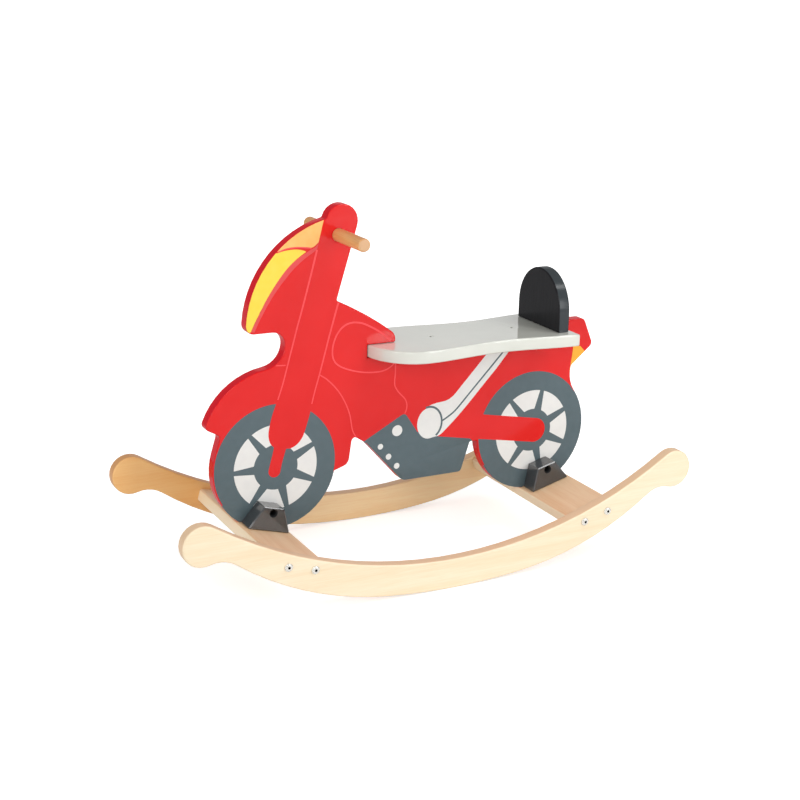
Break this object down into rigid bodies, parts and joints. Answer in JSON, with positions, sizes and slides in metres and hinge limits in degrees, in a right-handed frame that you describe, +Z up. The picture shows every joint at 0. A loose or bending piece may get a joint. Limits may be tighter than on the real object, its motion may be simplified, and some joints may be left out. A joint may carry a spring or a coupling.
{
  "type": "rocking motorcycle",
  "caption": "Child's wooden rocking motorcycle: flat painted body board on two cross boards between curved rockers, with seat board, backrest and dowel handlebar.",
  "frame": {"origin": "on the floor, midway between the rocker ends, in the plane of the body panel", "axes": "+X towards the tail, +Y to the rider's right, +Z up; the front faces -X"},
  "size_m": [0.775, 0.3114, 0.5102],
  "materials": {
    "red_paint": "satin red paint with a printed side on a wooden board",
    "grey_lacquer": "gloss light grey lacquer on a wooden board",
    "print_graphite": "dark grey screen print on the painted board: tyres, spokes, engine",
    "print_silver": "pale grey screen print on the painted board: wheel windows, exhaust, engine dots",
    "print_yellow": "yellow screen print on the painted board: headlamp",
    "print_orange": "light orange screen print on the painted board: windscreen and tail lamp",
    "print_coral": "light red screen printed lines on the painted board",
    "black_paint": "satin black paint on a wooden board",
    "birch": "clear lacquered birch plywood",
    "beech": "clear lacquered dowel",
    "black_plastic": "moulded black plastic",
    "zinc_steel": "zinc plated"
  },
  "bodies": {
    "root": {"body_panel": "red_paint", "seat_board": "grey_lacquer", "backrest": "black_paint", "handlebar": "beech", "rocker_left": "birch", "rocker_right": "birch", "crossboard_front": "birch", "crossboard_rear": "birch", "bracket_front_left": "black_plastic", "bracket_front_right": "black_plastic", "bracket_rear_left": "black_plastic", "bracket_rear_right": "black_plastic", "rocker_bolt_front_left_upper": "zinc_steel", "rocker_bolt_front_left_lower": "zinc_steel", "rocker_bolt_front_right_upper": "zinc_steel", "rocker_bolt_front_right_lower": "zinc_steel", "rocker_bolt_rear_left_upper": "zinc_steel", "rocker_bolt_rear_left_lower": "zinc_steel", "rocker_bolt_rear_right_upper": "zinc_steel", "rocker_bolt_rear_right_lower": "zinc_steel", "barrel_nut_front_left_upper": "zinc_steel", "barrel_nut_front_left_lower": "zinc_steel", "barrel_nut_front_right_upper": "zinc_steel", "barrel_nut_front_right_lower": "zinc_steel", "barrel_nut_rear_left_upper": "zinc_steel", "barrel_nut_rear_left_lower": "zinc_steel", "barrel_nut_rear_right_upper": "zinc_steel", "barrel_nut_rear_right_lower": "zinc_steel", "bracket_screw_front_left_a": "zinc_steel", "bracket_screw_front_left_b": "zinc_steel", "bracket_screw_front_right_a": "zinc_steel", "bracket_screw_front_right_b": "zinc_steel", "bracket_screw_rear_left_a": "zinc_steel", "bracket_screw_rear_left_b": "zinc_steel", "bracket_screw_rear_right_a": "zinc_steel", "bracket_screw_rear_right_b": "zinc_steel", "panel_bolt_front": "zinc_steel", "panel_bolt_rear": "zinc_steel", "panel_nut_front": "zinc_steel", "panel_nut_rear": "zinc_steel", "seat_screw_front": "zinc_steel", "seat_screw_rear": "zinc_steel", "backrest_screw_left": "zinc_steel", "backrest_screw_right": "zinc_steel", "handlebar_screw": "zinc_steel"}
  },
  "joints": []
}
